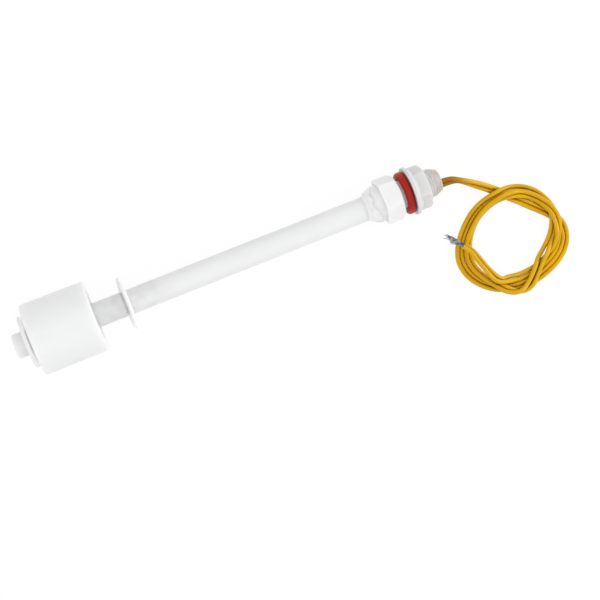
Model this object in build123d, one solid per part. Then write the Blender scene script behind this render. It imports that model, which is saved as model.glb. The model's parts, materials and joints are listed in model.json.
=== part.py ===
from build123d import *
import math
import os

os.makedirs("parts", exist_ok=True)

# A float level switch, lying as it comes to rest. Millimetres throughout.
# Every rigid piece is drawn round the stem's own axis, local X, with the tip at 0,
# and is then laid down so that the float's rim and the nut's flange touch Z = 0.

# Stem: a blind plastic tube
stem_diameter = 8.5
stem_wall = 1.1
stem_floor = 1.6
stem_edge = 0.35
socket_depth = 9.3

# Snap clips that stop the float, each in a groove of the stem
clip_diameter = 18.2
clip_thickness = 1.05
clip_mouth = 6.6
clip_edge = 0.45
groove_depth = 0.55
groove_play = 0.1
clip_bore_play = 0.12
lower_clip_at = 4.45
upper_clip_at = 39.4
upper_clip_lean = 5.0

# Float: a hollow shell with a welded lid, round a ring magnet
float_at = 6.05
float_length = 22.15
float_diameter_low = 25.0
float_diameter_high = 24.6
float_wall = 1.2
float_end_wall = 1.2
float_bore_play = 0.45
float_tube_wall = 1.0
lid_thickness = 1.4
lid_sleeve_wall = 0.9
lid_play = 0.06
magnet_length = 5.0
magnet_wall = 3.2
magnet_side_play = 0.06
magnet_end_play = 0.1
edge_round = 0.25
travel_play = 0.1

# Moulded fitting: collar, hexagon, thread relief and threaded spigot, with a bore for the wires
collar_at = 127.7
collar_length = 4.7
collar_lip_radius = 5.2
collar_radius = 6.45
collar_shoulder = 2.6
collar_round = 0.5
socket_play = 0.05
body_hex_length = 6.6
body_hex_flats = 14.4
body_hex_turn = 22.0
body_hex_edge = 0.2
body_hex_chamfer = 1.3
relief_length = 0.9
relief_depth = 0.75
thread_diameter = 10.0
thread_pitch = 1.0
thread_depth = 0.55
thread_crest = 0.3
thread_taper_length = 2.8
thread_end_wall = 0.5
spigot_length = 15.4
wire_bore_diameter = 6.4
bead_length = 0.85
bead_height = 0.8
bead_play = 0.02

# Nut with a round flange, and the gasket in front of it
nut_at = 143.0
nut_flange_thickness = 1.1
nut_flange_diameter = 17.2
nut_flange_slope = 1.6
nut_length = 6.2
nut_hex_flats = 13.4
nut_hex_turn = 27.5
nut_hex_chamfer = 0.75
nut_bore_play = 0.06
nut_lead_in = 0.5
gasket_thickness = 2.8
gasket_diameter = 15.1
gasket_bore_play = 0.08
gasket_round = 1.0
gasket_seat_play = 0.05

# Wires, side by side through the resin, as (y, z) from the stem's axis
wire_diameter = 1.6
wire_a_offset = (-0.8, 0.6)
wire_b_offset = (-2.2, -0.45)
wire_hole_play = 0.02
resin_length = 11.5
resin_recess = 0.35
resin_play = 0.03

# Reed switch, in the stem where the magnet arrives when the float is up
reed_offset = (1.2, 0.0)
reed_at = 34.0
reed_glass_length = 14.0
reed_glass_diameter = 2.2
reed_glass_wall = 0.35
reed_glass_round = 0.85
reed_seal_length = 2.4
reed_lead_diameter = 0.6
reed_lead_length = 10.0
reed_blade_width = 1.1
reed_blade_thickness = 0.2
reed_blade_overlap = 1.2
reed_blade_gap = 0.06
reed_lead_play = 0.01
joint_length = 4.0
joint_diameter = 1.5
lower_joint_diameter = 1.8
lower_joint_offset = (0.75, -0.1)
sleeve_wall = 0.25
sleeve_play = 0.05
sleeve_length = 7.0
sleeve_to_bend = 2.0
lower_wire_offset = (0.1, -0.3)
upper_bend_length = 8.0
joint_to_bend = 2.2
lower_bend_length = 4.0

# Free wires: points of each route, in the resting frame, with the coil's outer shape
coil_centre = (95.2, -29.2)
coil_inner_radius = 13.5
coil_width = 6.1
coil_height = 3.4
coil_edge = 1.4
exit_run = 3.9
lead_a_points = [(84.3, -2.2, 8.1), (88.0, -4.5, 5.7), (91.6, -6.5, 3.5), (95.5, -9.2, 1.75),
                 (98.8, -12.1, 1.1)]
lead_b_points = [(84.3, -3.4, 5.9), (88.1, -5.6, 3.6), (91.5, -7.9, 1.7), (94.9, -11.0, 0.95),
                 (97.7, -14.1, 0.95)]
tail_a_points = [(90.5, -43.7, 2.3), (85.4, -40.3, 3.6), (82.5, -34.8, 4.5), (81.0, -30.1, 4.75),
                 (79.6, -26.6, 4.8), (77.9, -24.4, 4.7)]
tail_b_points = [(87.7, -44.0, 2.7), (83.4, -40.6, 4.7), (81.2, -35.2, 5.9), (79.7, -30.8, 6.15),
                 (78.4, -27.4, 6.15), (76.6, -25.1, 6.1)]
bare_end_diameter = 0.9
bare_a_length = 6.6
bare_b_length = 5.6

# Sizes that follow from those above
stem_radius = stem_diameter / 2
stem_bore_radius = stem_radius - stem_wall
stem_length = collar_at + socket_depth
groove_radius = stem_radius - groove_depth
clip_radius = clip_diameter / 2
clip_bore_radius = groove_radius + clip_bore_play
clip_rim_round = min(clip_edge, 0.45 * clip_thickness)
float_bore_radius = stem_radius + float_bore_play
float_tube_radius = float_bore_radius + float_tube_wall
float_low_radius = float_diameter_low / 2
float_high_radius = float_diameter_high / 2
float_top = float_at + float_length
magnet_top = float_top - float_end_wall - magnet_end_play
magnet_bottom = magnet_top - magnet_length
hex_at = collar_at + collar_length
seat_at = hex_at + body_hex_length
thread_radius = thread_diameter / 2
thread_end = seat_at + spigot_length
wire_bore_radius = wire_bore_diameter / 2
flange_radius = nut_flange_diameter / 2
nut_end = nut_at + nut_length
gasket_at = nut_at - gasket_seat_play - gasket_thickness
resin_end = thread_end - resin_recess
wire_radius = wire_diameter / 2
reed_glass_radius = reed_glass_diameter / 2
reed_lead_radius = reed_lead_diameter / 2
reed_low = reed_at - reed_glass_length / 2
reed_high = reed_at + reed_glass_length / 2
lower_joint_at = reed_low - reed_lead_length
upper_joint_at = reed_high + reed_lead_length - joint_length / 2

# Where the stem's axis lies at rest: the float's upper rim and the flange's outer rim touch the ground
float_rim = (float_top - edge_round, float_high_radius - edge_round)
flange_rim = (nut_at + nut_flange_thickness - edge_round, flange_radius - edge_round)
tilt = math.atan2(float_rim[1] - flange_rim[1], flange_rim[0] - float_rim[0])
axis_height = float_rim[0] * math.sin(tilt) + float_rim[1] * math.cos(tilt) + edge_round
end_reach = (thread_radius - thread_depth - stem_radius + stem_edge) * math.sin(tilt)
middle = (thread_end * math.cos(tilt) + end_reach) / 2
resting = Location((-middle, 0, axis_height), (0, math.degrees(tilt), 0))


def save(name, shape):
    export_step(shape, f"parts/{name}.step")
    box = shape.bounding_box()
    print(f"{name}: {shape.volume:.2f} mm3, x {box.min.X:.2f} to {box.max.X:.2f}, "
          f"z {box.min.Z:.2f} to {box.max.Z:.2f}")


def save_laid(name, shape):
    save(name, resting * shape)


def laid_point(x, y, z):
    return (resting * Location((x, y, z))).position


def rod(start, end, radius, offset=(0, 0)):
    """A round bar along the stem's axis."""
    bar = Cylinder(radius, end - start, align=(Align.CENTER, Align.CENTER, Align.MIN))
    return Pos(start, *offset) * Rot(0, 90, 0) * bar


def turned(points, rounded=(), radius=0.0):
    """A solid turned round the stem's axis from (x, radius) corners; some corners may be rounded."""
    outline = make_face(Polyline(*points, close=True))
    if rounded:
        sharp = [points[i] for i in rounded]
        corners = [v for v in outline.vertices() if any(math.dist((v.X, v.Y), p) < 1e-6 for p in sharp)]
        outline = fillet(corners, radius)
    return revolve(outline, Axis.X)


def hexagon(start, end, flats, turn):
    """A hexagonal bar; turn is how far a corner stands from the top, towards -Y."""
    section = RegularPolygon(flats / 2, 6, major_radius=False, rotation=90 + turn)
    return extrude(Plane.YZ.offset(start) * section, end - start)


def tube_along(points, diameter):
    """A round wire along straight runs with an arc at each corner, as large as its two runs allow."""
    nodes = [Vector(*p) for p in points]
    runs = [b - a for a, b in zip(nodes, nodes[1:])]
    radii = []
    for before, after in zip(runs, runs[1:]):
        half_turn = math.radians(before.get_angle(after)) / 2
        radii.append(0.45 * min(before.length, after.length) / math.tan(half_turn))
    path = FilletPolyline(*nodes, radius=radii)
    start = Plane(origin=path @ 0, z_dir=path % 0)
    wire = sweep(start * Circle(diameter / 2), path=path)
    expected = math.pi * diameter**2 / 4 * path.length
    print(f"  length {path.length:.1f}, radii {[round(r, 1) for r in radii]}, "
          f"volume {wire.volume:.2f} against {expected:.2f}")
    return wire


# Stem tube with its closed, rounded tip and two clip grooves
stem = turned(
    [(0, 0), (0, stem_radius), (stem_length, stem_radius), (stem_length, stem_bore_radius),
     (stem_floor, stem_bore_radius), (stem_floor, 0)],
    rounded=(1,), radius=stem_edge)
lean = math.radians(upper_clip_lean)
lower_groove = clip_thickness + 2 * groove_play
upper_groove = (clip_thickness + 2 * stem_radius * math.sin(lean)) / math.cos(lean) + 2 * groove_play
for centre, width in ((lower_clip_at, lower_groove), (upper_clip_at, upper_groove)):
    ring = rod(centre - width / 2, centre + width / 2, clip_radius)
    stem -= ring - rod(centre - width, centre + width, groove_radius)
save_laid("stem_tube", stem)


# Snap clips: round discs with an open mouth that faces down
def snap_clip():
    half = clip_thickness / 2
    disc = turned(
        [(-half, 0), (-half, clip_radius), (half, clip_radius), (half, 0)],
        rounded=(1, 2), radius=clip_rim_round)
    mouth = Pos(0, 0, -clip_radius) * Box(3 * clip_thickness, clip_mouth, 2 * clip_radius)
    return disc - rod(-clip_thickness, clip_thickness, clip_bore_radius) - mouth


save_laid("lower_clip", Pos(lower_clip_at, 0, 0) * snap_clip())
save_laid("upper_clip", Location((upper_clip_at, 0, 0), (0, upper_clip_lean, 0)) * snap_clip())


# Float shell, open at its lower end, with the tube that runs on the stem
shell = turned(
    [(float_at, float_bore_radius), (float_top, float_bore_radius), (float_top, float_high_radius),
     (float_at, float_low_radius), (float_at, float_low_radius - float_wall),
     (float_top - float_end_wall, float_high_radius - float_wall),
     (float_top - float_end_wall, float_tube_radius), (float_at, float_tube_radius)],
    rounded=(2, 3), radius=edge_round)
save_laid("float_shell", shell)

# Float lid, flush in the lower end; its sleeve holds the magnet against the end wall
sleeve_inside = float_tube_radius + lid_play
sleeve_end = magnet_bottom - magnet_end_play
lid_radius = float_low_radius - float_wall - lid_play
lid = turned(
    [(float_at, sleeve_inside), (float_at, lid_radius), (float_at + lid_thickness, lid_radius),
     (float_at + lid_thickness, sleeve_inside + lid_sleeve_wall),
     (sleeve_end, sleeve_inside + lid_sleeve_wall), (sleeve_end, sleeve_inside)])
save_laid("float_lid", lid)

# Ring magnet round the float's tube
magnet_bore = float_tube_radius + magnet_side_play
magnet = rod(magnet_bottom, magnet_top, magnet_bore + magnet_wall)
magnet -= rod(magnet_bottom, magnet_top, magnet_bore)
save_laid("ring_magnet", magnet)


# Mounting body: collar, hexagon, relief and threaded spigot in one moulding
def spigot_outline():
    """Corners of the threaded spigot, one ridge to each pitch, tapered towards its end."""
    root = thread_radius - thread_depth
    flank = (thread_pitch - thread_crest) / 2
    neck_radius = thread_radius - relief_depth
    first = seat_at + relief_length
    end_radius = wire_bore_radius + thread_end_wall
    slope = (thread_radius - end_radius) / thread_taper_length
    corners = [(hex_at, neck_radius), (first, neck_radius), (first, root)]
    ridges = int((thread_end - first - thread_crest) / thread_pitch)
    for i in range(ridges):
        foot = first + i * thread_pitch
        corners += [(foot + flank, thread_radius), (foot + flank + thread_crest, thread_radius)]
        corners.append((foot + thread_pitch, root))
    corners.append((thread_end, root))
    tapered = [(x, min(radius, end_radius + slope * (thread_end - x))) for x, radius in corners]
    return [(hex_at, 0)] + tapered + [(thread_end, 0)]


collar = turned(
    [(collar_at, 0), (collar_at, collar_lip_radius), (collar_at + collar_shoulder, collar_radius),
     (hex_at + body_hex_length / 2, collar_radius), (hex_at + body_hex_length / 2, 0)],
    rounded=(1, 2), radius=collar_round)
hex_corner = body_hex_flats / math.sqrt(3)
hex_limit = turned(
    [(hex_at, 0), (hex_at, hex_corner - body_hex_edge), (hex_at + body_hex_edge, hex_corner),
     (seat_at - body_hex_chamfer, hex_corner), (seat_at, hex_corner - body_hex_chamfer), (seat_at, 0)])
body_hex = hexagon(hex_at, seat_at, body_hex_flats, body_hex_turn) & hex_limit
socket_end = stem_length + socket_play
body = collar + body_hex + turned(spigot_outline())
body -= rod(collar_at, socket_end, stem_radius + socket_play)
body -= rod(socket_end, thread_end, wire_bore_radius)
save_laid("mounting_body", body)

# Bead of cement where the stem enters the collar
bead = turned(
    [(collar_at - bead_length, stem_radius + bead_play), (collar_at, stem_radius + bead_play),
     (collar_at, stem_radius + bead_height)])
save_laid("glue_bead", bead)

# Flange nut; behind the flange a short slope leads to the hexagon's flats
flange = turned(
    [(nut_at, 0), (nut_at, flange_radius), (nut_at + nut_flange_thickness, flange_radius),
     (nut_at + nut_flange_thickness + nut_flange_slope, nut_hex_flats / 2),
     (nut_at + nut_flange_thickness + nut_flange_slope, 0)],
    rounded=(1, 2), radius=edge_round)
nut_corner = nut_hex_flats / math.sqrt(3)
nut_limit = turned(
    [(nut_at, 0), (nut_at, nut_corner), (nut_end - nut_hex_chamfer, nut_corner),
     (nut_end, nut_corner - nut_hex_chamfer), (nut_end, 0)])
nut_hex = hexagon(nut_at + nut_flange_thickness / 2, nut_end, nut_hex_flats, nut_hex_turn) & nut_limit
nut_bore = thread_radius + nut_bore_play
nut = flange + nut_hex - rod(nut_at, nut_end, nut_bore)
nut -= turned(
    [(nut_end, 0), (nut_end, nut_bore + nut_lead_in), (nut_end - nut_lead_in, nut_bore),
     (nut_end - nut_lead_in, 0)])
save_laid("flange_nut", nut)

# Gasket ring with rounded edges
gasket_inside = thread_radius + gasket_bore_play
gasket = turned(
    [(gasket_at, gasket_inside), (gasket_at, gasket_diameter / 2),
     (gasket_at + gasket_thickness, gasket_diameter / 2), (gasket_at + gasket_thickness, gasket_inside)],
    rounded=(0, 1, 2, 3), radius=gasket_round)
save_laid("gasket", gasket)

# Resin that seals the wires in the spigot
resin = rod(resin_end - resin_length, resin_end, wire_bore_radius - resin_play)
for offset in (wire_a_offset, wire_b_offset):
    resin -= rod(resin_end - resin_length, resin_end, wire_radius + wire_hole_play, offset)
save_laid("potting_resin", resin)

# Reed switch: a sealed glass tube with a blade and lead in each end
cavity = rod(reed_low + reed_seal_length, reed_high - reed_seal_length, reed_glass_radius - reed_glass_wall)
glass = turned(
    [(reed_low, 0), (reed_low, reed_glass_radius), (reed_high, reed_glass_radius), (reed_high, 0)],
    rounded=(1, 2), radius=reed_glass_round) - cavity
glass -= rod(lower_joint_at, upper_joint_at, reed_lead_radius + reed_lead_play)
save_laid("reed_glass", Pos(0, *reed_offset) * glass)


def reed_blade(outer_end, seal_end, side):
    """One lead with its flat blade; side says which way along the stem the blade points."""
    lead = rod(min(outer_end, seal_end), max(outer_end, seal_end), reed_lead_radius)
    tip = reed_at + side * reed_blade_overlap / 2
    length = abs(tip - seal_end)
    height = side * (reed_blade_gap + reed_blade_thickness) / 2
    blade = Pos((tip + seal_end) / 2, 0, height) * Box(length, reed_blade_width, reed_blade_thickness)
    return Pos(0, *reed_offset) * (lead + blade)


save_laid("reed_blade_lower", reed_blade(lower_joint_at, reed_low + reed_seal_length, 1))
save_laid("reed_blade_upper", reed_blade(reed_high + reed_lead_length, reed_high - reed_seal_length, -1))

# Soldered joints, each round a lead and against a wire, with a shrunk sleeve over it
lead_hole = reed_lead_radius + reed_lead_play
upper_joint = rod(upper_joint_at, upper_joint_at + joint_length, joint_diameter / 2, reed_offset)
upper_joint -= rod(upper_joint_at, reed_high + reed_lead_length, lead_hole, reed_offset)
save_laid("solder_joint_upper", upper_joint)
lower_joint_end = lower_joint_at + joint_length
lower_joint = rod(lower_joint_at, lower_joint_end, lower_joint_diameter / 2, lower_joint_offset)
lower_joint -= rod(lower_joint_at, lower_joint_end, lead_hole, reed_offset)
save_laid("solder_joint_lower", lower_joint)


def shrunk_sleeve(start, end, covered_radius, offset):
    inside = covered_radius + sleeve_play
    return rod(start, end, inside + sleeve_wall, offset) - rod(start, end, inside, offset)


upper_joint_end = upper_joint_at + joint_length
upper_sleeve_start = upper_joint_end - sleeve_length / 2
save_laid("shrink_sleeve_upper",
          shrunk_sleeve(upper_sleeve_start, upper_sleeve_start + sleeve_length, wire_radius, reed_offset))
save_laid("shrink_sleeve_lower",
          shrunk_sleeve(lower_joint_at, lower_joint_end, lower_joint_diameter / 2, lower_joint_offset))

# Wires inside the stem, from the joints to the resin's face
print("inner wires")
upper_bend = upper_sleeve_start + sleeve_length + sleeve_to_bend
wire_a_start = (upper_joint_end, *reed_offset)
wire_a_exit = (resin_end, *wire_a_offset)
inner_a = tube_along(
    [wire_a_start, (upper_bend, *reed_offset), (upper_bend + upper_bend_length, *wire_a_offset),
     wire_a_exit],
    wire_diameter)
save_laid("inner_wire_a", inner_a)
lower_bend = lower_joint_end + joint_to_bend
wire_b_start = (lower_joint_end, *lower_wire_offset)
wire_b_exit = (resin_end, *wire_b_offset)
inner_b = tube_along(
    [wire_b_start, (lower_bend, *lower_wire_offset), (lower_bend + lower_bend_length, *wire_b_offset),
     wire_b_exit],
    wire_diameter)
save_laid("inner_wire_b", inner_b)

# Free wires: the lead from the resin to the coil, the coil's outer shape, the tails and their bare ends
print("free wires")
for name, offset, points in (("a", wire_a_offset, lead_a_points), ("b", wire_b_offset, lead_b_points)):
    start = laid_point(resin_end, *offset)
    straight = laid_point(resin_end + exit_run, *offset)
    save(f"wire_{name}_lead", tube_along([tuple(start), tuple(straight), *points], wire_diameter))

coil_rounding = min(coil_edge, 0.45 * coil_width, 0.45 * coil_height)
coil_section = Pos(coil_inner_radius + coil_width / 2, coil_height / 2) * RectangleRounded(
    coil_width, coil_height, coil_rounding)
coil = revolve(Plane.XZ * coil_section, Axis.Z)
save("wire_coil", Pos(*coil_centre, 0) * coil)

for name, points, length in (("a", tail_a_points, bare_a_length), ("b", tail_b_points, bare_b_length)):
    save(f"wire_{name}_tail", tube_along(points, wire_diameter))
    end = Vector(*points[-1])
    direction = (end - Vector(*points[-2])).normalized()
    strand = Plane(origin=end, z_dir=direction) * Cylinder(
        bare_end_diameter / 2, length, align=(Align.CENTER, Align.CENTER, Align.MIN))
    save(f"bare_end_{name}", strand)
    middle_of_strand = end + direction * (length / 2)
    print(f"  bare end {name}: middle {tuple(round(c, 4) for c in middle_of_strand)}, "
          f"along {tuple(round(c, 5) for c in direction)}")

# Travel limits that the joints need
clip_face = upper_clip_at - clip_thickness / 2 * math.cos(lean) - clip_radius * math.sin(lean)
float_up = clip_face - float_top - travel_play
float_down = float_at - lower_clip_at - clip_thickness / 2 - travel_play
nut_in = gasket_at - seat_at - travel_play
nut_out = thread_end - nut_end
stem_direction = (math.cos(tilt), 0, -math.sin(tilt))
print(f"tilt {math.degrees(tilt):.4f} deg, stem direction {tuple(round(c, 6) for c in stem_direction)}")
print(f"axis at the tip {tuple(round(c, 4) for c in laid_point(0, 0, 0))}")
print(f"float travel {-float_down:.3f} to {float_up:.3f}, nut travel {-nut_in:.3f} to {nut_out:.3f}, "
      f"in degrees {-nut_in / thread_pitch * 360:.0f} to {nut_out / thread_pitch * 360:.0f}")
print(f"seat {tuple(round(c, 4) for c in laid_point(seat_at, 0, 0))}, "
      f"thread middle {tuple(round(c, 4) for c in laid_point((seat_at + thread_end) / 2, 0, 0))}, "
      f"exits {[tuple(round(c, 3) for c in laid_point(*p)) for p in (wire_a_exit, wire_b_exit)]}")
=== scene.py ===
# %% [markdown]
# A slim float level switch of white plastic, lying on a pale ground: a float between two
# snap clips on a thin stem, a threaded fitting with a red gasket and a flange nut, and two
# yellow wires in a loose coil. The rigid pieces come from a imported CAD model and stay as
# they are. Blender gives them their finish, and adds what is soft or ragged: the wires,
# their frayed ends and the wiped cement.

# %% Load the frame
import json
import math
import random

import bpy
import numpy as np
from mathutils import Matrix, Vector


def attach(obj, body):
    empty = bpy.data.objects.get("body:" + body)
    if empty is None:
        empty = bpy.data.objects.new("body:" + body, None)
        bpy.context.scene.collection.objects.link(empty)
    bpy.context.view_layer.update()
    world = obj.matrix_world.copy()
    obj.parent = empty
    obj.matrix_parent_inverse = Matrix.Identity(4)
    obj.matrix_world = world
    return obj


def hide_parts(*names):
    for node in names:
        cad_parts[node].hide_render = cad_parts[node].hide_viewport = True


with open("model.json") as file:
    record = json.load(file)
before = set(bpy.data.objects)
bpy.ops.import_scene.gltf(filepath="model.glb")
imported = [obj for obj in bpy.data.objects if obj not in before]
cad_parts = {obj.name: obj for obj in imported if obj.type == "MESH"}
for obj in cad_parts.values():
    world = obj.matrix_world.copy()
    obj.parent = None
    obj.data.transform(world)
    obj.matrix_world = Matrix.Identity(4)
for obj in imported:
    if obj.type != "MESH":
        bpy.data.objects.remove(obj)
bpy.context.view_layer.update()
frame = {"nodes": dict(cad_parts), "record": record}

mm = 0.001
nodes = frame["nodes"]
print("rigid pieces", len(nodes))

# %% [markdown]
# Most rigid pieces lie along one slanted line, the middle of the stem. The mount called seat
# gives that line's direction and a point on it, so the stem gets axes of its own. A distance
# along the stem, a radius and an angle are then enough to place a point.

# %% The stem's own axes
seat_at = 139.0 * mm
seat = next(mount for mount in frame["record"]["mounts"] if mount["name"] == "seat")
stem_axis = Vector(seat["axis"]).normalized()
across = Vector((0, 1, 0))
stem_up = stem_axis.cross(across)
stem_tip = Vector(seat["pos_m"]) - stem_axis * seat_at
stem_frame = Matrix((
    (stem_axis.x, across.x, stem_up.x, stem_tip.x),
    (stem_axis.y, across.y, stem_up.y, stem_tip.y),
    (stem_axis.z, across.z, stem_up.z, stem_tip.z),
    (0, 0, 0, 1)))
print("stem from", tuple(round(c, 4) for c in stem_tip), "along", tuple(round(c, 4) for c in stem_axis))

# %% [markdown]
# The camera comes first, because every later choice is judged through it. It looks almost
# straight down from 0.45 m through a long lens, and is rolled so that the stem runs up to
# the right. Place, aim and roll are real values, found by matching the outlines.

# %% Camera
camera_place = Vector((-18.05, -20.71, 447.9)) * mm
camera_aim = Vector((17.65, -20.71, 0.0)) * mm
camera_turn = math.radians(21.96)
camera_lens = 77.4
sensor_width = 36.0

view_direction = (camera_aim - camera_place).normalized()
turned_north = Vector((math.sin(camera_turn), math.cos(camera_turn), 0))
picture_right = view_direction.cross(turned_north).normalized()
picture_up = picture_right.cross(view_direction)
camera_data = bpy.data.cameras.new("studio_camera")
camera_data.lens = camera_lens
camera_data.sensor_width = sensor_width
camera = bpy.data.objects.new("studio_camera", camera_data)
camera.rotation_mode = "QUATERNION"
camera.location = camera_place
camera_axes = Matrix((picture_right, picture_up, -view_direction)).transposed()
camera.rotation_quaternion = camera_axes.to_quaternion()
bpy.context.collection.objects.link(camera)
bpy.context.scene.camera = camera
print("camera height", round(camera_place.z, 4))

# %% [markdown]
# The two wires are limp, 1.6 mm across, and can be followed from end to end. They leave the
# resin side by side, drop to the ground, run under the coil, and go round a little more than
# two and a half times. Wires could be drawn by hand on the screen, but points that are
# written down can be corrected one by one. First the leads and the tails, in millimetres.

# %% Leads and tails
wire_diameter = 1.6 * mm
wire_radius = wire_diameter / 2

lead_a = [(76.82, -0.8, 8.87), (80.72, -0.8, 8.75), (84.3, -2.8, 8.2), (88.0, -4.5, 5.7),
          (91.6, -6.5, 3.5), (95.5, -9.2, 1.75), (98.8, -12.1, 1.1)]
lead_b = [(76.79, -2.2, 7.82), (80.69, -2.2, 7.7), (84.3, -2.8, 5.9), (88.1, -5.6, 3.6),
          (91.5, -7.9, 1.7), (95.1, -10.8, 0.95), (98.0, -13.75, 0.95)]
tail_a = [(85.4, -40.3, 3.6), (82.5, -34.8, 4.5), (81.0, -30.1, 4.75), (79.6, -26.6, 4.8),
          (77.9, -24.4, 4.7)]
tail_b = [(83.4, -40.6, 4.8), (81.2, -35.2, 5.9), (79.7, -30.8, 6.15), (78.7, -26.9, 6.15),
          (76.9, -24.6, 6.1)]
print("lead and tail points", len(lead_a) + len(tail_a), len(lead_b) + len(tail_b))

# %% [markdown]
# Where each wire lies in the coil is given clock by clock: its distance in millimetres from
# the coil's middle at each 15 degrees, turn after turn, clockwise from above.

# %% Turns of the coil
coil_middle = Vector((95.4, -28.95)) * mm
clock_start = 30
clock_step = 15

turns_a = [
    [14.9, 14.4, 14.9, 16.8, 19.2, 19.4, 18.6, 17.4, 16.4, 16.1, 16.4, 17.0,
     17.6, 18.6, 19.9, 20.8, 20.9, 19.6, 18.2, 17.5, 17.1, 17.0, 17.4, 18.3],
    [19.2, 19.5, 19.1, 18.0, 16.3, 14.9, 13.7, 13.0, 13.0, 14.6, 18.0, 18.8,
     17.3, 16.4, 16.5, 16.8, 16.7, 15.9, 15.0, 14.7, 14.7, 14.8, 14.9, 15.2],
    [15.7, 16.2, 16.5, 16.4, 16.1, 15.6, 14.7, 13.7, 12.9, 12.4, 12.1, 12.5, 13.5]]
turns_b = [
    [13.6, 13.1, 13.6, 15.1, 17.6, 18.3, 17.6, 16.5, 15.4, 15.0, 15.4, 16.3,
     16.9, 17.7, 18.8, 19.7, 19.8, 18.6, 17.3, 16.5, 16.1, 16.0, 16.6, 17.2],
    [17.8, 17.8, 17.5, 16.6, 15.2, 13.5, 12.0, 11.0, 11.0, 12.3, 15.4, 18.7,
     18.6, 17.6, 17.7, 18.1, 18.1, 17.0, 15.7, 15.0, 14.8, 15.0, 15.6, 16.3],
    [17.0, 17.5, 17.6, 17.4, 17.2, 16.9, 16.0, 14.9, 14.2, 13.9, 13.9, 14.2, 14.8]]
print("turns", round(sum(len(turn) for turn in turns_a) * clock_step / 360, 2))

# %% [markdown]
# A wire that crosses others starts out above them. Each pair below is a clock angle and how
# many wires lie under the wire there. The second wire gets a little more or less than that.

# %% Routes of the two wires
layers = [(0, 0.0), (290, 0.0), (370, 1.3), (470, 1.3), (510, 4.0), (575, 4.0), (630, 1.6),
          (690, 1.6), (750, 2.8), (870, 2.8), (930, 2.8)]
lift_a = [(0, 0.0), (930, 0.0)]
lift_b = [(0, 0.0), (90, 0.0), (130, -0.5), (480, -0.5), (520, 0.6), (930, 0.6)]


def coil_points(turns, lift):
    """Points of the coil, with the height that each is held at before it settles."""
    points = []
    for turn, distances in enumerate(turns):
        for step, distance in enumerate(distances):
            clock = clock_start + 360 * turn + clock_step * step
            angle = math.radians(clock)
            level = np.interp(clock, *zip(*layers)) + np.interp(clock, *zip(*lift))
            height = wire_radius + max(level, 0) * wire_diameter
            points.append((coil_middle.x + distance * mm * math.sin(angle),
                           coil_middle.y + distance * mm * math.cos(angle), height))
    return points


def full_route(lead, turns, tail, lift):
    """One wire's points from the resin to its cut end, and which of them may settle."""
    start = [tuple(c * mm for c in p) for p in lead]
    coil = coil_points(turns, lift)
    end = [tuple(c * mm for c in p) for p in tail]
    free = [False] * len(start) + [True] * len(coil) + [False] * len(end)
    return start + coil + end, free


route_a, free_a = full_route(lead_a, turns_a, tail_a, lift_a)
route_b, free_b = full_route(lead_b, turns_b, tail_b, lift_b)
print("route points", len(route_a), len(route_b))

# %% [markdown]
# Wires in a heap rest on each other. Working out by hand which lies at which height would
# be slow and never quite right, so the coil is let down instead: each point sinks a little,
# and wherever two stretches of wire come closer than one diameter they push apart. The
# push is worked out on the smooth line and shared back to the few points that shape it.

# %% From a route's points to its smooth line
samples_per_run = 4


def smooth_line_weights(count):
    """Rows of weights that turn a route's points into points of its quadratic line."""
    rows = []
    for middle in range(1, count - 1):
        for step in range(samples_per_run):
            t = step / samples_per_run
            row = np.zeros(count)
            row[middle - 1] = 0.5 * (1 - t) ** 2
            row[middle] = 0.5 + t * (1 - t)
            row[middle + 1] = 0.5 * t ** 2
            rows.append(row)
    return np.array(rows)


print("samples on a route", len(smooth_line_weights(len(route_a))))

# %% Let the coil settle
settling_steps = 520
resting_steps = 60
sink = 0.035 * mm
hold = 0.06
push_gain = 1.2
neighbour_reach = 14
clearance = 0.03 * mm
no_division_by_zero = 1e-9


def settle(routes, frees):
    """Sinks the free points of two routes until their wires rest on each other."""
    points = np.concatenate([np.array(r) for r in routes])
    wanted = points.copy()
    free = np.concatenate([np.array(f, float) for f in frees])[:, None]
    blocks = [smooth_line_weights(len(r)) for r in routes]
    weights = np.zeros((sum(len(b) for b in blocks), len(points)))
    weights[:len(blocks[0]), :len(routes[0])] = blocks[0]
    weights[len(blocks[0]):, len(routes[0]):] = blocks[1]
    share = weights.sum(axis=0)[:, None] + no_division_by_zero
    wire = np.concatenate([np.full(len(b), k) for k, b in enumerate(blocks)])
    order = np.arange(len(wire))
    near = (wire[:, None] == wire[None, :]) & (abs(order[:, None] - order[None, :]) < neighbour_reach)
    least = wire_diameter + clearance
    for step in range(settling_steps):
        line = weights @ points
        gap = line[:, None, :] - line[None, :, :]
        distance = np.sqrt((gap ** 2).sum(axis=2)) + no_division_by_zero
        too_near = np.where(near, 0, np.clip(least - distance, 0, None))
        push = (gap / distance[:, :, None] * too_near[:, :, None]).sum(axis=1) * 0.5
        push[:, 2] += np.clip(wire_radius - line[:, 2], 0, None)
        points += free * (weights.T @ push) / share * push_gain
        points[:, :2] += free * hold * (wanted[:, :2] - points[:, :2])
        if step < settling_steps - resting_steps:
            points[:, 2:] -= free * sink
        points[:, 2:] = np.where(free > 0, np.maximum(points[:, 2:], wire_radius), points[:, 2:])
    print("deepest overlap after settling", round(float(too_near.max()) / mm, 3), "mm,",
          "highest point", round(float(line[:, 2].max()) / mm, 2), "mm")
    return [points[:len(routes[0])], points[len(routes[0]):]]


settled_a, settled_b = settle([route_a, route_b], [free_a, free_b])

# %% [markdown]
# Each wire is one smooth curve with a round bevel. Blender counts a point's radius in a
# curve's box, so the radius holds the wire's real half thickness and the bevel depth is 1.

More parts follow.
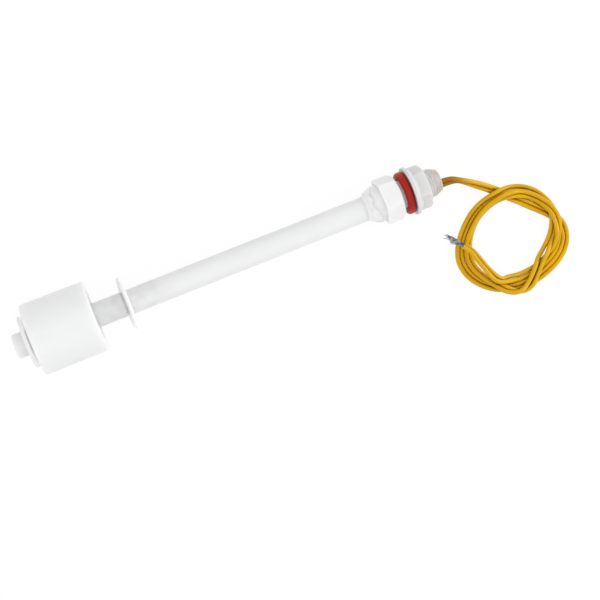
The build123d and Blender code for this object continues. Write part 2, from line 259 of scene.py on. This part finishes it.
# %% Wires as smooth curves
def wire_curve(name, points):
    curve = bpy.data.curves.new(name, "CURVE")
    curve.dimensions = "3D"
    spline = curve.splines.new("NURBS")
    spline.points.add(len(points) - 1)
    for point, place in zip(spline.points, points):
        point.co = (*place, 1)
        point.radius = wire_radius
    spline.order_u = 3
    spline.use_endpoint_u = True
    spline.resolution_u = 8
    curve.bevel_depth = 1.0
    curve.bevel_resolution = 6
    curve.use_fill_caps = True
    wire = bpy.data.objects.new(name, curve)
    bpy.context.collection.objects.link(wire)
    return wire


wire_a = wire_curve("wire_a", settled_a)
wire_b = wire_curve("wire_b", settled_b)
print("curves", wire_a.name, wire_b.name)

# %% [markdown]
# The real length of a wire is the length of its curve, and its strands start where the
# curve ends. Both are read from a thin copy of the curve, which is thrown away afterwards.

# %% Measure the wires
def curve_line(wire):
    """Points along a curve's own line."""
    thin = wire.data.copy()
    thin.bevel_depth = 0
    helper = bpy.data.objects.new("line_helper", thin)
    bpy.context.collection.objects.link(helper)
    mesh = bpy.data.meshes.new_from_object(helper)
    line = [v.co.copy() for v in mesh.vertices]
    bpy.data.objects.remove(helper)
    bpy.data.meshes.remove(mesh)
    bpy.data.curves.remove(thin)
    return line


line_a, line_b = curve_line(wire_a), curve_line(wire_b)
length_a = sum((q - p).length for p, q in zip(line_a, line_a[1:]))
length_b = sum((q - p).length for p, q in zip(line_b, line_b[1:]))
print("wire lengths", round(length_a, 4), round(length_b, 4))

# %% [markdown]
# Each wire ends in a bundle of tinned strands. A stripped end is never a clean rod: the
# strands keep their twist for a few millimetres and then open out. Every strand is its own
# thin curve round the bundle's middle, with a seeded random spread towards the tip.

# %% One strand
strand_count = 9
strand_radius = 0.13 * mm
strand_points = 9
strand_twist = 1.1
bundle_radius = 0.3 * mm
inside_insulation = 0.6 * mm
turn_share = 0.5
fan_start = 0.35
fan_power = 1.5


def strand_places(end, out, side, rise, heading, start_angle, ring, reach, open_side, open_rise):
    """Places along one strand, which twists round the bundle and then opens out."""
    places = []
    for step in range(strand_points):
        t = step / (strand_points - 1)
        angle = start_angle + strand_twist * math.pi * t
        direction = out * (1 - turn_share * t) + heading * turn_share * t
        middle = end - out * inside_insulation + direction * reach * t
        fan = max(0, t - fan_start) ** fan_power
        places.append(middle + side * (ring * math.cos(angle) + open_side * fan)
                      + rise * (ring * math.sin(angle) + open_rise * fan))
    return places


print("strands in a bundle", strand_count)

# %% Bare ends
fray_seed = 7
strand_shortest = 0.72
spread_upwards = 0.6
heading_a = Vector((-0.75, 0.66, 0.02)).normalized()
heading_b = Vector((-0.83, 0.55, -0.05)).normalized()


def bare_strands(name, node, line, length, heading, spread):
    """A frayed bundle that leaves the wire's end and turns towards heading."""
    picker = random.Random(fray_seed + len(name) + ord(name[-1]))
    end = line[-1]
    out = (line[-1] - line[-4]).normalized()
    side = out.cross(Vector((0, 0, 1))).normalized()
    rise = side.cross(out)
    curve = bpy.data.curves.new(name, "CURVE")
    curve.dimensions = "3D"
    curve.bevel_depth = strand_radius
    curve.bevel_resolution = 3
    curve.use_fill_caps = True
    for strand in range(strand_count):
        ring = 0 if strand == 0 else bundle_radius
        start_angle = 2 * math.pi * strand / (strand_count - 1)
        open_side = picker.uniform(-1, 1) * spread
        open_rise = picker.uniform(-spread_upwards, spread_upwards) * spread
        reach = length * picker.uniform(strand_shortest, 1.0)
        places = strand_places(end, out, side, rise, heading, start_angle, ring, reach,
                               open_side, open_rise)
        spline = curve.splines.new("NURBS")
        spline.points.add(strand_points - 1)
        for point, place in zip(spline.points, places):
            point.co = (*place, 1)
        spline.order_u = 3
        spline.use_endpoint_u = True
        spline.resolution_u = 3
    helper = bpy.data.objects.new("strand_helper", curve)
    bpy.context.collection.objects.link(helper)
    mesh = bpy.data.meshes.new_from_object(helper)
    bpy.data.objects.remove(helper)
    mesh.name = name
    bundle = bpy.data.objects.new(name, mesh)
    bpy.context.collection.objects.link(bundle)
    for polygon in mesh.polygons:
        polygon.use_smooth = True
    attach(bundle, "root")
    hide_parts(node)
    print(name, "faces", len(mesh.polygons))
    return bundle


strands_a = bare_strands("frayed_end_a", "bare_end_a", line_a, 9.0 * mm, heading_a, 1.9 * mm)
strands_b = bare_strands("frayed_end_b", "bare_end_b", line_b, 6.6 * mm, heading_b, 1.4 * mm)

# %% [markdown]
# A wire is a fixed length of something flexible. It takes the place of its solids in the rigid model,
# which stay there for collision, and its strands belong to it. Each curve is hung from the root and
# takes the place of its solids in the rigid model, which are hidden but stay in the scene.

for wire, mark, line, length, strands in (
        (wire_a, "a", line_a, length_a, strands_a), (wire_b, "b", line_b, length_b, strands_b)):
    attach(wire, "root")
    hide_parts(f"wire_{mark}_lead", "wire_coil", f"wire_{mark}_tail")
    print("cord", wire.name, round(length, 3), "m")

# %% [markdown]
# The stem is cemented into the collar, and the cement was wiped over the joint by hand. It
# fills the corner, lies thinly on the collar's shoulder and ends in a ragged edge. A plain
# ring can't show that, so the skin is built point by point: each ring of points lies a
# little above the stem or the collar, and the last ring dives into it at an uneven line.

# %% A ragged line
cement_seed = 11
tooth_widths = (3, 11)


def ragged_line(count, low, high, picker):
    """A closed run of values that jumps between low and high in uneven teeth."""
    knots, place = [], 0
    while place < count:
        knots.append((place, picker.uniform(low, high)))
        place += picker.randint(*tooth_widths)
    knots.append((count, knots[0][1]))
    places, values = zip(*knots)
    return [float(np.interp(index, places, values)) for index in range(count)]


print("teeth", tooth_widths[0], "to", tooth_widths[1], "points wide")

# %% Wiped cement over the joint
# Each pair is a distance along the stem and a radius round it, in millimetres.
cement_profile = [(126.3, 4.24), (126.9, 4.4), (127.35, 4.78), (127.65, 5.2)]
collar_line = [(127.65, 5.0), (128.1, 5.3), (130.2, 6.35), (130.9, 6.44), (132.3, 6.45)]
cement_around = 180
cement_rows = 9
cement_edge_range = (128.3, 131.1)
cement_lumps = (-0.03, 0.05)
cement_thickness = 0.12
lumps_on_collar = 0.4
edge_depth = -0.08


def wiped_cement():
    picker = random.Random(cement_seed)
    edge = ragged_line(cement_around, *cement_edge_range, picker)
    lump = ragged_line(cement_around, *cement_lumps, picker)
    corner_end = cement_profile[-1][0]
    points, faces = [], []
    for turn in range(cement_around):
        angle = 2 * math.pi * turn / cement_around
        rows = [(s, r + (lump[turn] if i else 0)) for i, (s, r) in enumerate(cement_profile)]
        for row in range(1, cement_rows + 1):
            s = corner_end + (edge[turn] - corner_end) * row / cement_rows
            above = cement_thickness + lumps_on_collar * lump[turn] if row < cement_rows else edge_depth
            rows.append((s, float(np.interp(s, *zip(*collar_line))) + above))
        for s, r in rows:
            place = Vector((s * mm, r * mm * math.cos(angle), r * mm * math.sin(angle)))
            points.append(stem_frame @ place)
    depth = len(cement_profile) + cement_rows
    for turn in range(cement_around):
        here, there = turn * depth, (turn + 1) % cement_around * depth
        for row in range(depth - 1):
            faces.append((here + row, here + row + 1, there + row + 1, there + row))
    mesh = bpy.data.meshes.new("wiped_cement")
    mesh.from_pydata(points, [], faces)
    mesh.validate()
    for polygon in mesh.polygons:
        polygon.use_smooth = True
    piece = bpy.data.objects.new("wiped_cement", mesh)
    bpy.context.collection.objects.link(piece)
    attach(piece, "root")
    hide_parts("glue_bead")
    print("cement faces", len(mesh.polygons))
    return piece


cement_skin = wiped_cement()

# %% [markdown]
# Finishes come next. Three effects are shared by several materials, so each is a node group: a fine
# uneven skin, the mask for shade painted where faces meet, and the place along the stem.
# A group gives out only values and masks; the shader stays outside it.

# %% A new group with its sockets
def new_group(name, inputs, outputs):
    group = bpy.data.node_groups.new(name, "ShaderNodeTree")
    for label, default in inputs:
        socket = group.interface.new_socket(name=label, in_out="INPUT", socket_type="NodeSocketFloat")
        socket.default_value = default
    for label in outputs:
        group.interface.new_socket(name=label, in_out="OUTPUT", socket_type="NodeSocketFloat")
    print("group", name, "gives", *outputs)
    return group, group.nodes.new("NodeGroupInput"), group.nodes.new("NodeGroupOutput")


# %% [markdown]
# Moulded and extruded plastic is never quite even: it has a fine grain that only its gloss
# shows, and a slow drift in its colour. Both come from noise in the piece's own coordinates,
# so that they stay in place when the piece moves.

# %% Shared effect: uneven skin
def uneven_skin_group():
    """Height for a bump, and a slow mottle."""
    group, inputs, outputs = new_group(
        "uneven_skin", [("Grain size", 900.0), ("Mottle size", 60.0)], ["Height", "Mottle"])
    place = group.nodes.new("ShaderNodeTexCoord")
    grain = group.nodes.new("ShaderNodeTexNoise")
    grain.inputs["Detail"].default_value = 3
    mottle = group.nodes.new("ShaderNodeTexNoise")
    mottle.inputs["Detail"].default_value = 2
    link = group.links.new
    link(place.outputs["Object"], grain.inputs["Vector"])
    link(place.outputs["Object"], mottle.inputs["Vector"])
    link(inputs.outputs["Grain size"], grain.inputs["Scale"])
    link(inputs.outputs["Mottle size"], mottle.inputs["Scale"])
    link(grain.outputs["Fac"], outputs.inputs["Height"])
    link(mottle.outputs["Fac"], outputs.inputs["Mottle"])
    return group


uneven_skin = uneven_skin_group()

# %% [markdown]
# Shade is painted where faces meet. Ambient occlusion measures how much of the open a point sees, and
# turned over it is a mask for corners and for the gaps between the wires, where the materials lay a
# painted shade.

# %% Shared effect: corner shade
open_from = 0.9
deep_from = 0.2


def corner_shade_group():
    """A mask that is 0 in the open and 1 in deep corners."""
    group, inputs, outputs = new_group("corner_shade", [("Reach", 0.002)], ["Shade"])
    occlusion = group.nodes.new("ShaderNodeAmbientOcclusion")
    occlusion.samples = 8
    turn_over = group.nodes.new("ShaderNodeMapRange")
    turn_over.inputs["From Min"].default_value = open_from
    turn_over.inputs["From Max"].default_value = deep_from
    group.links.new(inputs.outputs["Reach"], occlusion.inputs["Distance"])
    group.links.new(occlusion.outputs["AO"], turn_over.inputs["Value"])
    group.links.new(turn_over.outputs["Result"], outputs.inputs["Shade"])
    return group


corner_shade = corner_shade_group()

# %% [markdown]
# The stem is painted greyer where the float and the clips shade it, a painted shade, and the thread is
# browner than the hexagon, although each is one piece. A mask along the stem tells those stretches
# apart.

# %% Shared effect: place along the stem
def along_stem_group():
    """How far a point of a rigid piece lies along the stem, as a share of a length."""
    group, inputs, outputs = new_group("along_stem", [("Length", 0.16)], ["Share"])
    place = group.nodes.new("ShaderNodeTexCoord")
    from_tip = group.nodes.new("ShaderNodeVectorMath")
    from_tip.operation = "SUBTRACT"
    from_tip.inputs[1].default_value = stem_tip
    along = group.nodes.new("ShaderNodeVectorMath")
    along.operation = "DOT_PRODUCT"
    along.inputs[1].default_value = stem_axis
    share = group.nodes.new("ShaderNodeMath")
    share.operation = "DIVIDE"
    link = group.links.new
    link(place.outputs["Object"], from_tip.inputs[0])
    link(from_tip.outputs["Vector"], along.inputs[0])
    link(along.outputs["Value"], share.inputs[0])
    link(inputs.outputs["Length"], share.inputs[1])
    link(share.outputs["Value"], outputs.inputs["Share"])
    return group


along_stem = along_stem_group()

# %% [markdown]
# Every material below is put together from the same few moves: start a material, place a
# group in it, turn a value into a colour, lay one colour over another, and make a bump.

# %% Helpers for materials
mottle_low, mottle_high = 0.3, 0.7
grain_depth = 0.2 * mm
first_colour, second_colour, mixed = 6, 7, 2


def new_material(name):
    material = bpy.data.materials.new(name)
    material.use_nodes = True
    tree = material.node_tree
    return material, tree, tree.nodes["Principled BSDF"]


def place_group(tree, group, **values):
    """A group in a material, with its own values; Grain_size stands for Grain size."""
    node = tree.nodes.new("ShaderNodeGroup")
    node.node_tree = group
    for label, value in values.items():
        node.inputs[label.replace("_", " ")].default_value = value
    return node


def ramp_colour(tree, source, low, high, dark, light):
    """A colour between dark and light as the source value goes from low to high."""
    ramp = tree.nodes.new("ShaderNodeValToRGB")
    ramp.color_ramp.elements[0].position = low
    ramp.color_ramp.elements[0].color = (*dark, 1)
    ramp.color_ramp.elements[1].position = high
    ramp.color_ramp.elements[1].color = (*light, 1)
    tree.links.new(source, ramp.inputs["Fac"])
    return ramp.outputs["Color"]


def mixed_colour(tree, mask, base, over):
    """The base colour where the mask is 0, and the over colour where it is 1. The colour
    sockets of a Mix node are found by number, because other kinds share their names."""
    mix = tree.nodes.new("ShaderNodeMix")
    mix.data_type = "RGBA"
    tree.links.new(mask, mix.inputs["Factor"])
    tree.links.new(base, mix.inputs[first_colour])
    if isinstance(over, tuple):
        mix.inputs[second_colour].default_value = (*over, 1)
    else:
        tree.links.new(over, mix.inputs[second_colour])
    return mix.outputs[mixed]


def bump_normal(tree, height, strength):
    bump = tree.nodes.new("ShaderNodeBump")
    bump.inputs["Strength"].default_value = strength
    bump.inputs["Distance"].default_value = grain_depth
    tree.links.new(height, bump.inputs["Height"])
    return bump.outputs["Normal"]


def set_sockets(shader, values):
    for label, value in values.items():
        shader.inputs[label].default_value = value


def grey(value):
    return (value, value, value)


print("grain depth", grain_depth)

# %% [markdown]
# The switch is moulded in white plastic that lets a little light in. One function makes all five
# whites, which differ in tone: the nut is the greyest, and the float and the clips are the brightest.
# Subsurface light softens their shading. Each white also gets a painted shade in its corners, and the
# float and the clips get a painted glow in tight gaps, an emission that stands in for the light that
# passes through thin walls.

# %% White plastic
stem_reach = 160 * mm
plastic_corner = 5 * mm
plastic_grain = 700.0
plastic_mottle = 45.0
plastic_bump = 0.12
patch_mottle = 260.0
patch_low, patch_high = 0.35, 0.65
glow_from, glow_full = 0.5, 1.0
plastic_sockets = {
    "Roughness": 0.42,
    "IOR": 1.49,
    "Subsurface Weight": 0.7,
    "Subsurface Radius": (1.0, 0.97, 0.94),
    "Subsurface Scale": 0.002,
}


def stem_stretch_mask(tree, strengths):
    """A mask along the stem, from pairs of a distance in millimetres and a strength."""
    place = place_group(tree, along_stem, Length=stem_reach)
    mask = tree.nodes.new("ShaderNodeValToRGB")
    mask.color_ramp.interpolation = "EASE"
    for index, (distance, strength) in enumerate(strengths):
        stop = mask.color_ramp.elements[index] if index < 2 else mask.color_ramp.elements.new(1)
        stop.position = distance * mm / stem_reach
        stop.color = (*grey(strength), 1)
    tree.links.new(place.outputs["Share"], mask.inputs["Fac"])
    return mask.outputs["Color"]


def white_plastic(name, dark, light, shade, glow=0.0, stem_stretch=None):
    """Satin plastic with a painted shade in corners, and a painted glow in tight gaps when glow is set.
    The colour for a stretch of the stem has its dark and light shade and its strength at some distances
    along the stem: on the stem a painted shade, on the fitting the thread's browner tone."""
    material, tree, shader = new_material(name)
    skin = place_group(tree, uneven_skin, Grain_size=plastic_grain, Mottle_size=plastic_mottle)
    tone = ramp_colour(tree, skin.outputs["Mottle"], mottle_low, mottle_high, dark, light)
    if stem_stretch:
        stem_stretch_dark, stem_stretch_light, strengths = stem_stretch
        patchy = place_group(tree, uneven_skin, Grain_size=plastic_grain, Mottle_size=patch_mottle)
        patches = ramp_colour(tree, patchy.outputs["Mottle"], patch_low, patch_high,
                              stem_stretch_dark, stem_stretch_light)
        tone = mixed_colour(tree, stem_stretch_mask(tree, strengths), tone, patches)
    # Painted shade: the shade colour is laid over the tone in corners and tight gaps.
    corner = place_group(tree, corner_shade, Reach=plastic_corner)
    tone = mixed_colour(tree, corner.outputs["Shade"], tone, shade)
    # Painted glow: an emission in tight gaps that stands in for light passing through thin walls.
    if glow:
        painted_gap_glow = ramp_colour(tree, corner.outputs["Shade"], glow_from, glow_full,
                                    grey(0), grey(glow))
        tree.links.new(painted_gap_glow, shader.inputs["Emission Color"])
        shader.inputs["Emission Strength"].default_value = 1.0
    tree.links.new(tone, shader.inputs["Base Color"])
    tree.links.new(bump_normal(tree, skin.outputs["Height"], plastic_bump), shader.inputs["Normal"])
    set_sockets(shader, plastic_sockets)
    print("white", name)
    return material


print("stem reach", stem_reach, "shade reach", plastic_corner)

# %% The five whites
float_white = white_plastic("float_plastic", grey(0.885), grey(0.91), grey(0.88), glow=0.12)
clip_white = white_plastic("clip_plastic", grey(0.88), grey(0.91), grey(0.88), glow=0.15)
nut_white = white_plastic("nut_plastic", (0.67, 0.673, 0.673), grey(0.70), grey(0.57))

# Painted shade: the stem is greyer from 4 mm to 45 mm along it, fading out by 58 mm, for the shade of
# the float and the clips.
painted_stem_shade = ((0.73, 0.73, 0.735), (0.81, 0.81, 0.815),
          [(0, 0), (3.5, 0), (4.5, 0.9), (40, 1), (45, 1), (58, 0)])
stem_white = white_plastic("stem_plastic", grey(0.86), grey(0.885), grey(0.74), stem_stretch=painted_stem_shade)

browned_thread = ((0.465, 0.4, 0.365), (0.59, 0.55, 0.535), [(148.6, 0), (149.2, 1)])
body_white = white_plastic(
    "fitting_plastic", grey(0.85), grey(0.875), grey(0.8), stem_stretch=browned_thread)

# %% [markdown]
# The insulation is smooth golden plastic. Bare yellow looks flat in a heap of wires, so a painted
# shade, a browner colour, is laid into the gaps between them. The colour also turns brown near the
# exit, fully within 4 mm of it and fading out by 13 mm. The distance from the exit is the mask for
# that.

# %% Yellow insulation
near_exit_fully, near_exit_last = 4 * mm, 13 * mm
golden_dark, golden_light = (0.65, 0.357, 0.001), (0.76, 0.435, 0.002)
exit_brown = (0.33, 0.15, 0.01)
painted_gap_shade = (0.42, 0.18, 0.0)


def wire_insulation():
    material, tree, shader = new_material("yellow_insulation")
    skin = place_group(tree, uneven_skin, Grain_size=1400.0, Mottle_size=90.0)
    tone = ramp_colour(tree, skin.outputs["Mottle"], mottle_low, mottle_high,
                       golden_dark, golden_light)
    # Browner near the exit: fully brown within 4 mm of it, fading out by 13 mm.
    place = tree.nodes.new("ShaderNodeTexCoord")
    from_exit = tree.nodes.new("ShaderNodeVectorMath")
    from_exit.operation = "DISTANCE"
    from_exit.inputs[1].default_value = line_a[0]
    near_exit = tree.nodes.new("ShaderNodeMapRange")
    near_exit.inputs["From Min"].default_value = near_exit_last
    near_exit.inputs["From Max"].default_value = near_exit_fully
    tree.links.new(place.outputs["Object"], from_exit.inputs[0])
    tree.links.new(from_exit.outputs["Value"], near_exit.inputs["Value"])
    tone = mixed_colour(tree, near_exit.outputs["Result"], tone, exit_brown)
    # Painted shade: a browner colour laid into the gaps between the wires.
    corner = place_group(tree, corner_shade, Reach=wire_diameter)
    tone = mixed_colour(tree, corner.outputs["Shade"], tone, painted_gap_shade)
    tree.links.new(tone, shader.inputs["Base Color"])
    tree.links.new(bump_normal(tree, skin.outputs["Height"], 0.05), shader.inputs["Normal"])
    set_sockets(shader, {"Roughness": 0.3, "Specular IOR Level": 0.22})
    return material


yellow = wire_insulation()
print("insulation", yellow.name)

# %% [markdown]
# The other finishes need no function of their own: each drifts between two near shades over a fine
# grain. The red rubber also gets a painted shade, nearly black, where it meets the nut.

# %% Rubber, metals, resin and the rest
def plain_finish(name, dark, light, roughness, grain, bump, metallic=0.0, mottle=60.0,
                 specular=0.5, corner=None):
    """A finish between two near shades. A corner has its reach and the colour of the shade painted
    there.
    """
    material, tree, shader = new_material(name)
    skin = place_group(tree, uneven_skin, Grain_size=grain, Mottle_size=mottle)
    tone = ramp_colour(tree, skin.outputs["Mottle"], mottle_low, mottle_high, dark, light)
    if corner:
        reach, painted_corner_shade = corner
        shade = place_group(tree, corner_shade, Reach=reach)
        tone = mixed_colour(tree, shade.outputs["Shade"], tone, painted_corner_shade)
    tree.links.new(tone, shader.inputs["Base Color"])
    tree.links.new(bump_normal(tree, skin.outputs["Height"], bump), shader.inputs["Normal"])
    set_sockets(shader, {"Roughness": roughness, "Metallic": metallic, "Specular IOR Level": specular})
    print("finish", name)
    return material


# Painted shade: the rubber goes nearly black in the corner where it meets the nut.
red = plain_finish(
    "red_rubber", (0.38, 0.012, 0.003), (0.46, 0.018, 0.005), roughness=0.4, grain=1200.0, bump=0.15,
    specular=0.2, corner=(1.2 * mm, (0.05, 0.002, 0.001)))
tinned = plain_finish(
    "tinned_copper", (0.1, 0.105, 0.125), (0.5, 0.51, 0.54), roughness=0.3, grain=2500.0, bump=0.2,
    metallic=1.0, mottle=900.0)
cement = plain_finish(
    "cement", grey(0.88), grey(0.92), roughness=0.4, grain=1800.0, bump=0.3, mottle=500.0)
resin = plain_finish(
    "potting_resin", (0.66, 0.52, 0.42), (0.78, 0.7, 0.62), roughness=0.25, grain=500.0, bump=0.05,
    mottle=300.0)
magnet = plain_finish(
    "dark_ferrite", (0.035, 0.035, 0.04), (0.07, 0.07, 0.075), roughness=0.6, grain=2500.0, bump=0.6,
    mottle=900.0)
reed_metal = plain_finish(
    "reed_metal", (0.5, 0.5, 0.48), (0.62, 0.62, 0.6), roughness=0.3, grain=2500.0, bump=0.1,
    metallic=1.0)
solder = plain_finish(
    "solder", (0.55, 0.56, 0.58), (0.68, 0.69, 0.7), roughness=0.32, grain=1500.0, bump=0.4,
    metallic=1.0, mottle=900.0)
sleeve = plain_finish(
    "black_sleeve", (0.022, 0.022, 0.024), (0.04, 0.04, 0.042), roughness=0.55, grain=1500.0, bump=0.3)

# %% [markdown]
# The reed switch sits in a sealed glass tube inside the stem. It can't be seen from outside,
# but it gets a real glass, slightly green, because a part may be cut open or taken apart.

# %% Glass
def clear_glass():
    material, tree, shader = new_material("reed_glass")
    skin = place_group(tree, uneven_skin, Grain_size=300.0, Mottle_size=200.0)
    tone = ramp_colour(tree, skin.outputs["Mottle"], mottle_low, mottle_high,
                       (0.7, 0.86, 0.76), (0.8, 0.93, 0.85))
    tree.links.new(tone, shader.inputs["Base Color"])
    set_sockets(shader, {"Roughness": 0.05, "Transmission Weight": 1.0, "IOR": 1.5})
    return material


glass = clear_glass()
print("glass", glass.name)

# %% [markdown]
# A rigid piece keeps its own mesh, and only the material in its slots changes. The pieces
# made above are new and have no slot yet, so a material is added to each.

# %% Give each piece its finish
finishes = {
    stem_white: ["stem_tube"],
    clip_white: ["lower_clip", "upper_clip"],
    float_white: ["float_shell", "float_lid"],
    body_white: ["mounting_body"],
    nut_white: ["flange_nut"],
    red: ["gasket"],
    resin: ["potting_resin"],
    magnet: ["ring_magnet"],
    glass: ["reed_glass"],
    reed_metal: ["reed_blade_lower", "reed_blade_upper"],
    solder: ["solder_joint_upper", "solder_joint_lower"],
    sleeve: ["shrink_sleeve_upper", "shrink_sleeve_lower"],
    yellow: ["inner_wire_a", "inner_wire_b"],
}
for finish, names in finishes.items():
    for name in names:
        for material_slot in nodes[name].material_slots:
            material_slot.material = finish
for piece, finish in ((wire_a, yellow), (wire_b, yellow), (strands_a, tinned), (strands_b, tinned),
                      (cement_skin, cement)):
    piece.data.materials.append(finish)
print("finishes on rigid pieces", len(finishes))

# %% [markdown]
# The studio: a wide pale floor, a bright sky, and three large soft lamps. The ground looks
# white because its own material glows faintly for rays from the camera, mirrors and glass;
# the lamps stay at a plain level, so that the white plastic keeps its shading.

# %% Floor
floor_size = 12.0
floor_colour = (*grey(0.88), 1)
floor_roughness = 0.9
floor_glow = 0.86
glow_strength = 1.03


def floor_material():
    material, tree, shader = new_material("pale_floor")
    set_sockets(shader, {"Base Color": floor_colour, "Roughness": floor_roughness})
    path = tree.nodes.new("ShaderNodeLightPath")
    camera_or_glossy = tree.nodes.new("ShaderNodeMath")
    camera_or_glossy.operation = "MAXIMUM"
    any_of_three = tree.nodes.new("ShaderNodeMath")
    any_of_three.operation = "MAXIMUM"
    weight = tree.nodes.new("ShaderNodeMath")
    weight.operation = "MULTIPLY"
    weight.inputs[1].default_value = floor_glow
    glow = tree.nodes.new("ShaderNodeEmission")
    glow.inputs["Strength"].default_value = glow_strength
    mix = tree.nodes.new("ShaderNodeMixShader")
    link = tree.links.new
    link(path.outputs["Is Camera Ray"], camera_or_glossy.inputs[0])
    link(path.outputs["Is Glossy Ray"], camera_or_glossy.inputs[1])
    link(camera_or_glossy.outputs[0], any_of_three.inputs[0])
    link(path.outputs["Is Transmission Ray"], any_of_three.inputs[1])
    link(any_of_three.outputs[0], weight.inputs[0])
    link(weight.outputs[0], mix.inputs[0])
    link(shader.outputs[0], mix.inputs[1])
    link(glow.outputs[0], mix.inputs[2])
    link(mix.outputs[0], tree.nodes["Material Output"].inputs["Surface"])
    return material


bpy.ops.mesh.primitive_plane_add(size=floor_size)
floor = bpy.context.object
floor.name = "studio_floor"
floor.data.materials.append(floor_material())
print("floor", floor_size, "m")

# %% World and lamps
sky_strength = 0.78
lamps = {
    "key_lamp": ((-0.15, -0.55, 0.8), 0.5, 1.1),
    "side_lamp": ((0.8, -0.1, 0.3), 0.5, 2.3),
    "top_lamp": ((0.0, 0.2, 1.1), 0.25, 0.9),
}

world = bpy.data.worlds.new("studio_world")
bpy.context.scene.world = world
world.use_nodes = True
sky = world.node_tree.nodes["Background"]
sky.inputs["Color"].default_value = (1, 1, 1, 1)
sky.inputs["Strength"].default_value = sky_strength


def soft_lamp(name, place, size, power):
    """A round lamp that faces the origin."""
    lamp_data = bpy.data.lights.new(name, "AREA")
    lamp_data.shape = "DISK"
    lamp_data.size = size
    lamp_data.energy = power
    lamp = bpy.data.objects.new(name, lamp_data)
    lamp.location = place
    lamp.rotation_mode = "QUATERNION"
    lamp.rotation_quaternion = (-Vector(place)).to_track_quat("-Z", "Y")
    bpy.context.collection.objects.link(lamp)
    print("lamp", name, power, "W")


for name, (place, size, power) in lamps.items():
    soft_lamp(name, place, size, power)
bpy.context.scene.view_settings.view_transform = "Standard"
